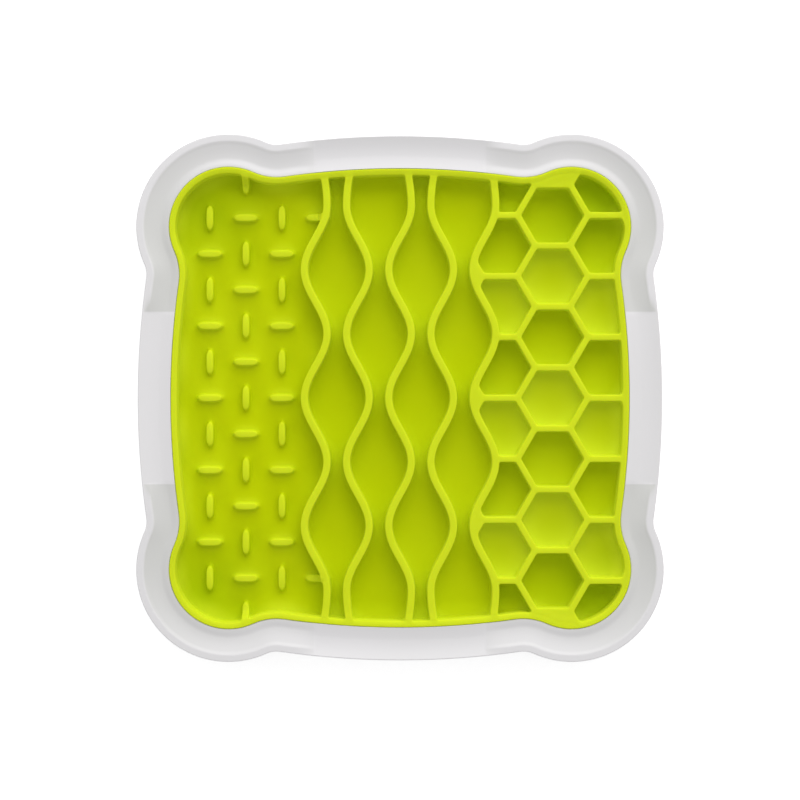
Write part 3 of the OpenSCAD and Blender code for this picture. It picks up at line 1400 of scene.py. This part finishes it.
@dataclass
class Tray:
    """The hard tray: skirt, light rim band, hollow corner gutters, four ledges and the insert's well.

    Widths and starts count inward from the outline: round the corners the level band ends at band_w,
    the gutter deepens over the next roll_w, and the lip rises from lip_from. The well starts at
    brim_w.
    """

    outline: Outline
    finish: SatinPlastic
    skirt_z: float = 2.0
    rim_z: float = 22.0
    wall: float = 2.2
    draft: float = 0.2
    rim_round: float = 0.35
    edge_round: float = 0.2
    crown_w: float = 0.3
    gutter_deep: float = 1.5
    gutter_shallow: float = 1.3
    slope_w: float = 8.0
    slope_roll: float = 0.6
    ledge_lip: float = 0.6
    ledge_lip_from: float = 7.6
    ledge_lip_power: float = 1.5
    band_w: float = 2.7
    step_w: float = 1.4
    step_h: float = 0.12
    roll_w: float = 7.5
    lip_from: float = 9.0
    lip_w: float = 3.2
    lip_h: float = 0.5
    brim_w: float = 12.5
    well_z: float = 9.5
    foot_r: float = 8.0
    foot_sink: float = 1.2
    stem_r: float = 3.0
    stem_l: float = 3.0
    foot_gap: float = 0.05
    boss_wall: float = 2.0
    boss_edge: float = 0.3
    stiffener_h: float = 1.0
    stiffener_w: float = 2.0
    hem_round: float = 0.4
    gutter_under_round: float = 0.8
    gutter_under_run: float = 0.6
    gutter_under_rise: float = 0.4
    well_under_round: float = 0.6
    well_round: float = 0.5
    brim_steps: int = 40
    outline_step: float = 2.0
    smooth_angle: float = 32.0

    @property
    def under_z(self) -> float:
        """Returns the height of the well's underside."""
        return self.well_z - self.wall

    def ledge_fall(self, inset: float) -> float:
        """Shapes the brim over a ledge.

        Args:
            inset: How far inside the outline a place lies.

        Returns:
            How far the brim lies below the rim there.
        """
        share = min(1.0, max(0.0, inset - self.crown_w) / self.slope_w)
        fall = self.gutter_shallow * (1 - math.cos(math.pi * share**self.slope_roll)) / 2
        lip = (inset - self.ledge_lip_from) / (self.brim_w - self.ledge_lip_from)
        return fall - self.ledge_lip * max(0.0, lip) ** self.ledge_lip_power

    def corner_fall(self, inset: float) -> float:
        """Shapes the brim round a corner: a level band, a small step, the gutter and a low lip.

        Args:
            inset: How far inside the outline a place lies.

        Returns:
            How far the brim lies below the rim there.
        """
        step = float(ease((inset - self.band_w) / self.step_w))
        roll = min(1.0, max(0.0, inset - self.band_w) / self.roll_w)
        lip = float(ease((inset - self.lip_from) / self.lip_w))
        deeper = (self.gutter_deep - self.step_h) * math.sin(math.pi * roll / 2)
        return self.step_h * step + deeper - self.lip_h * lip

    @property
    def crown_in(self) -> float:
        """Returns how far inside the outline the brim starts to fall."""
        return self.draft + self.rim_round + self.crown_w

    def outside(self) -> list[Point]:
        """Draws what is the same all round, from the well's underside over the hem up to the rim.

        Returns:
            Insets and heights.
        """
        gutter_z = self.rim_z - self.gutter_deep - self.wall
        inner = self.brim_w - self.wall
        hem, hem_z = self.hem_round, self.skirt_z + self.hem_round
        turn, bend = self.well_under_round, self.gutter_under_round
        rim = (self.draft + self.rim_round, self.rim_z)
        return (
            quarter_round((inner + turn, self.under_z), (inner, self.under_z + turn), 3, False)
            + quarter_round((inner, gutter_z - bend), (inner - bend, gutter_z), 3, True)
            + [(self.crown_in + self.slope_w * self.gutter_under_run, gutter_z)]
            + [(self.draft + self.wall, gutter_z + self.gutter_deep * self.gutter_under_rise)]
            + [(self.wall, hem_z)]
            + quarter_round((self.wall, hem_z), (self.wall - hem, self.skirt_z), 2, True)[1:]
            + quarter_round((hem, self.skirt_z), (0.0, hem_z), 2, False)
            + quarter_round((self.draft, self.rim_z - self.rim_round), rim, 6, True)
        )

    def section(self) -> list[tuple[float, float, float]]:
        """Draws the whole tray, from the well's underside over the rim down to the well's floor.

        Returns:
            Insets, heights over the ledges and heights round the corners.
        """
        insets = np.linspace(self.crown_in, self.brim_w - self.edge_round, self.brim_steps)
        brim = [(i, self.rim_z - self.ledge_fall(i), self.rim_z - self.corner_fall(i)) for i in insets]
        ledge_z = self.rim_z - self.ledge_fall(self.brim_w)
        corner_z = self.rim_z - self.corner_fall(self.brim_w)
        edge = quarter_round((insets[-1], 0.0), (self.brim_w, -self.edge_round), 3, False)
        foot = (self.brim_w + self.well_round, self.well_z)
        well = quarter_round((self.brim_w, self.well_z + self.well_round), foot, 3, True)
        return (
            [(inset, z, z) for inset, z in self.outside()]
            + brim
            + [(inset, ledge_z + z, corner_z + z) for inset, z in edge]
            + [(inset, z, z) for inset, z in well]
        )

    def shell(self) -> bpy.types.Object:
        """Builds the moulding without its bosses.

        Returns:
            The moulding.
        """
        points, normals = self.outline.stations(self.outline_step)
        share = self.outline.corner_share(points)
        count = len(points)
        parts = [
            np.column_stack([points - inset * normals, ledge + (corner - ledge) * share])
            for inset, ledge, corner in self.section()
        ]
        faces = ring_faces(0, len(parts), count)
        last = (len(parts) - 1) * count
        faces.append(tuple(range(count)))
        faces.append(tuple(range(last, last + count)))
        return make_mesh("tray_dressed", np.concatenate(parts), faces)

    def boss(self, x: float, y: float) -> bpy.types.Object:
        """Models one foot's boss, with the pocket for its pad and the bore for its stem.

        Args:
            x: The foot's place across.
            y: The foot's place along.

        Returns:
            The boss.
        """
        pocket_r = self.foot_r + self.foot_gap
        bore_r = self.stem_r + self.foot_gap
        boss_r = pocket_r + self.boss_wall
        top = self.well_z - self.wall / 2
        made = add_cylinder("boss", boss_r, (x, y, self.skirt_z), (x, y, top))
        pick_faces(made, lambda normal, centre: normal.z < -FACING)
        bpy.ops.mesh.inset(thickness=self.boss_wall * MM)
        raise_faces(self.foot_sink)
        bpy.ops.mesh.inset(thickness=(pocket_r - bore_r) * MM)
        raise_faces(self.stem_l)
        bpy.ops.object.mode_set(mode="OBJECT")
        bevel(made, self.boss_edge)
        return made

    def stiffeners(self) -> list[bpy.types.Object]:
        """Models the low ribs under the well's floor.

        Returns:
            The ribs.
        """
        made = []
        reach = self.outline.lobe_c
        across = [((-reach, side * reach), (reach, side * reach)) for side in (-1, 1)]
        along = [((side * reach, -reach), (side * reach, reach)) for side in (-1, 1)]
        slants = [((-reach, -side * reach), (reach, side * reach)) for side in (-1, 1)]
        low, high = self.under_z - self.stiffener_h, self.under_z + self.wall / 2
        for start, end in across + along + slants:
            made.append(add_bar("stiffener", start, end, self.stiffener_w, low, high))
        return made

    def build(self) -> bpy.types.Object:
        """Builds the tray.

        Returns:
            The tray.
        """
        tray = self.shell()
        reach = self.outline.lobe_c
        for bar in self.stiffeners():
            join_solid(tray, bar)
        for x in (-reach, reach):
            for y in (-reach, reach):
                join_solid(tray, self.boss(x, y))
        log.info("tray: %d faces", len(tray.data.polygons))
        return tray

    def dress(self, piece: bpy.types.Object) -> None:
        """Gives the tray its finish and its place in the frame.

        Args:
            piece: The tray.
        """
        smooth(piece, self.smooth_angle)
        piece.data.materials.append(self.finish.material())
        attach(piece, Body.TRAY.value)
        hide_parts("tray")


def add_cylinder(name: str, radius: float, low: Spot, high: Spot) -> bpy.types.Object:
    """Adds an upright cylinder with its place in its mesh.

    Args:
        name: The object's name.
        radius: Its radius in millimetres.
        low: The middle of its lower end.
        high: The middle of its upper end.

    Returns:
        The cylinder.
    """
    bpy.ops.object.select_all(action="DESELECT")
    centre = [(a + b) / 2 * MM for a, b in zip(low, high)]
    depth = (high[2] - low[2]) * MM
    bpy.ops.mesh.primitive_cylinder_add(
        vertices=ROUND_SIDES, radius=radius * MM, depth=depth, location=centre)
    made = bpy.context.object
    made.name = name
    bpy.ops.object.transform_apply(location=True, rotation=True, scale=True)
    return made


def add_bar(name: str, start: Point, end: Point, width: float, low: float, high: float) -> bpy.types.Object:
    """Adds a bar that lies level, with its lower edges rounded.

    Args:
        name: The object's name.
        start: One end of its middle line.
        end: The other end.
        width: Its width.
        low: The height of its lower side.
        high: The height of its upper side.

    Returns:
        The bar.
    """
    edge = 0.35
    bpy.ops.object.select_all(action="DESELECT")
    run = (end[0] - start[0], end[1] - start[1])
    bpy.ops.mesh.primitive_cube_add(
        size=1.0,
        location=((start[0] + end[0]) / 2 * MM, (start[1] + end[1]) / 2 * MM, (low + high) / 2 * MM),
        rotation=(0, 0, math.atan2(run[1], run[0])),
        scale=(math.hypot(*run) * MM, width * MM, (high - low) * MM),
    )
    made = bpy.context.object
    made.name = name
    bpy.ops.object.transform_apply(location=True, rotation=True, scale=True)
    bevel(made, edge)
    return made


def raise_faces(distance: float) -> None:
    """Extrudes the selected faces straight up by a distance in millimetres."""
    bpy.ops.mesh.extrude_region_move(TRANSFORM_OT_translate={"value": (0, 0, distance * MM)})


def pick_faces(piece: bpy.types.Object, wanted: Callable[[Vector, Vector], bool]) -> None:
    """Enters edit mode with some faces selected.

    Args:
        piece: The piece.
        wanted: Says from a face's normal and its centre in millimetres whether it is wanted.
    """
    bpy.ops.object.mode_set(mode="OBJECT")
    select_only(piece)
    bpy.ops.object.mode_set(mode="EDIT")
    bpy.ops.mesh.select_mode(type="FACE")
    bpy.ops.mesh.select_all(action="DESELECT")
    bpy.ops.object.mode_set(mode="OBJECT")
    for face in piece.data.polygons:
        face.select = bool(wanted(face.normal, face.center / MM))
    bpy.ops.object.mode_set(mode="EDIT")


def bevel(piece: bpy.types.Object, width: float) -> None:
    """Rounds a piece's sharp edges in two steps.

    Args:
        piece: The piece.
        width: The width of the rounding in millimetres.
    """
    select_only(piece)
    made = piece.modifiers.new("rounded", "BEVEL")
    made.width = width * MM
    made.segments = 2
    made.limit_method = "ANGLE"
    made.angle_limit = math.radians(40.0)
    bpy.ops.object.modifier_apply(modifier=made.name)


def join_solid(piece: bpy.types.Object, other: bpy.types.Object) -> None:
    """Joins another solid to a piece, leaving nothing inside.

    Args:
        piece: The piece that is kept.
        other: The solid that is joined to it and goes.
    """
    select_only(piece)
    union = piece.modifiers.new("joined", "BOOLEAN")
    union.operation = "UNION"
    union.solver = "EXACT"
    union.object = other
    bpy.ops.object.modifier_apply(modifier=union.name)
    bpy.data.objects.remove(other, do_unlink=True)


@dataclass
class Foot:
    """A rubber foot: a round pad with a rounded edge and a grip groove, and a stem."""

    node: str
    x: float
    y: float
    pad_r: float = 8.0
    pad_top_z: float = 3.2
    stem_r: float = 3.0
    stem_l: float = 3.0
    groove_in: float = 2.4
    groove_w: float = 0.9
    groove_d: float = 0.5
    edge: float = 0.22
    smooth_angle: float = 35.0

    def build(self) -> bpy.types.Object:
        """Models the foot.

        Returns:
            The foot.
        """
        low, high = (self.x, self.y, 0.0), (self.x, self.y, self.pad_top_z)
        groove_r = self.pad_r - self.groove_in - self.groove_w / 2
        made = add_cylinder(self.node + "_dressed", self.pad_r, low, high)
        pick_faces(made, lambda normal, centre: normal.z > FACING)
        bpy.ops.mesh.inset(thickness=(self.pad_r - self.stem_r) * MM)
        raise_faces(self.stem_l)
        pick_faces(made, lambda normal, centre: normal.z < -FACING)
        bpy.ops.mesh.inset(thickness=self.groove_in * MM)
        bpy.ops.mesh.inset(thickness=self.groove_w * MM)
        pick_faces(made, lambda normal, centre: normal.z < -FACING and abs(
            math.hypot(centre.x - self.x, centre.y - self.y) - groove_r) < self.groove_w / 3)
        raise_faces(self.groove_d)
        bpy.ops.object.mode_set(mode="OBJECT")
        bevel(made, self.edge)
        return made

    def dress(self, piece: bpy.types.Object, material: bpy.types.Material) -> None:
        """Gives the foot its finish and its place in the frame.

        Args:
            piece: The foot.
            material: The finish, which all the feet share.
        """
        smooth(piece, self.smooth_angle)
        piece.data.materials.append(material)
        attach(piece, Body.TRAY.value)
        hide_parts(self.node)


@dataclass(frozen=True)
class Studio:
    """A pale table, soft light from the back and a camera straight above."""

    picture_w_mm: float = 302.8
    centre_y: float = -0.76
    lens: float = 85.0
    sensor: float = 36.0
    level_z: float = 21.0
    table_m: float = 6.0
    floor_tone: float = 0.80
    floor_lift: float = 0.56
    sky: float = 0.62
    key_place: Spot = (0.3, 1.3, 0.85)
    key_size: float = 1.7
    key_watts: float = 24.0

    def floor(self) -> None:
        """Makes the table, white to the camera but keeping the mat's soft shadow."""
        bpy.ops.object.select_all(action="DESELECT")
        bpy.ops.mesh.primitive_plane_add(size=self.table_m, location=(0, 0, 0))
        plane = bpy.context.object
        plane.name = "table"
        canvas = Canvas("table_white")
        path = canvas.node("ShaderNodeLightPath").outputs
        camera_ray = Value(canvas, path["Is Camera Ray"])
        seen = camera_ray.maths("MAXIMUM", camera_ray, Value(canvas, path["Is Glossy Ray"]))
        tone = (self.floor_tone,) * 3 + (1.0,)
        paper = canvas.node("ShaderNodeBsdfDiffuse", None, {"Color": tone}).outputs[0]
        glow = {"Color": (1.0, 1.0, 1.0, 1.0), "Strength": self.floor_lift}
        lift = canvas.node("ShaderNodeEmission", None, glow).outputs[0]
        both = canvas.node("ShaderNodeAddShader", None, {0: paper, 1: lift}).outputs[0]
        mixed = canvas.node("ShaderNodeMixShader", None, {0: seen, 1: paper, 2: both})
        canvas.node("ShaderNodeOutputMaterial", None, {"Surface": mixed.outputs[0]})
        plane.data.materials.append(canvas.material)

    def world(self) -> None:
        """Lights everything softly from all sides, white where the camera sees it."""
        world = bpy.data.worlds.new("studio")
        bpy.context.scene.world = world
        world.use_nodes = True
        background = world.node_tree.nodes["Background"]
        background.inputs["Color"].default_value = (1.0, 1.0, 1.0, 1.0)
        background.inputs["Strength"].default_value = self.sky

    def lamp(self, name: str, place: Spot, size: float, watts: float) -> None:
        """Adds a square soft lamp that points at the mat.

        Args:
            name: The lamp's name.
            place: Where it hangs, in metres.
            size: Its side in metres.
            watts: Its power.
        """
        light = bpy.data.lights.new(name, "AREA")
        light.size = size
        light.energy = watts
        made = bpy.data.objects.new(name, light)
        made.location = place
        made.rotation_euler = (-Vector(place)).to_track_quat("-Z", "Y").to_euler()
        bpy.context.scene.collection.objects.link(made)

    def camera(self) -> None:
        """Hangs the camera straight above the mat."""
        camera = bpy.data.cameras.new("camera")
        camera.lens = self.lens
        camera.sensor_width = self.sensor
        made = bpy.data.objects.new("camera", camera)
        away = self.picture_w_mm * self.lens / self.sensor
        made.location = (0.0, self.centre_y * MM, (self.level_z + away) * MM)
        made.rotation_euler = (0.0, 0.0, 0.0)
        bpy.context.scene.collection.objects.link(made)
        bpy.context.scene.camera = made

    def build(self) -> None:
        """Sets up the whole studio."""
        self.camera()
        self.floor()
        self.world()
        self.lamp("key", self.key_place, self.key_size, self.key_watts)
        bpy.context.scene.view_settings.view_transform = "Standard"


def main() -> None:
    """Builds the studio and the mat's pieces round the frame."""
    logging.basicConfig(level=logging.INFO, format="%(name)s: %(message)s")
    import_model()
    Studio().build()
    outline = Outline()
    tray = Tray(outline, SatinPlastic())
    tray.dress(tray.build())
    insert = Insert(outline, LimeRubber())
    insert.dress(insert.build())
    grip = GripRubber().material()
    for side_y, row in ((-1, "front"), (1, "back")):
        for side_x, column in ((-1, "left"), (1, "right")):
            foot = Foot(f"foot_{row}_{column}", side_x * outline.lobe_c, side_y * outline.lobe_c)
            foot.dress(foot.build(), grip)
            log.info("%s built", foot.node)


if __name__ == "__main__":
    main()
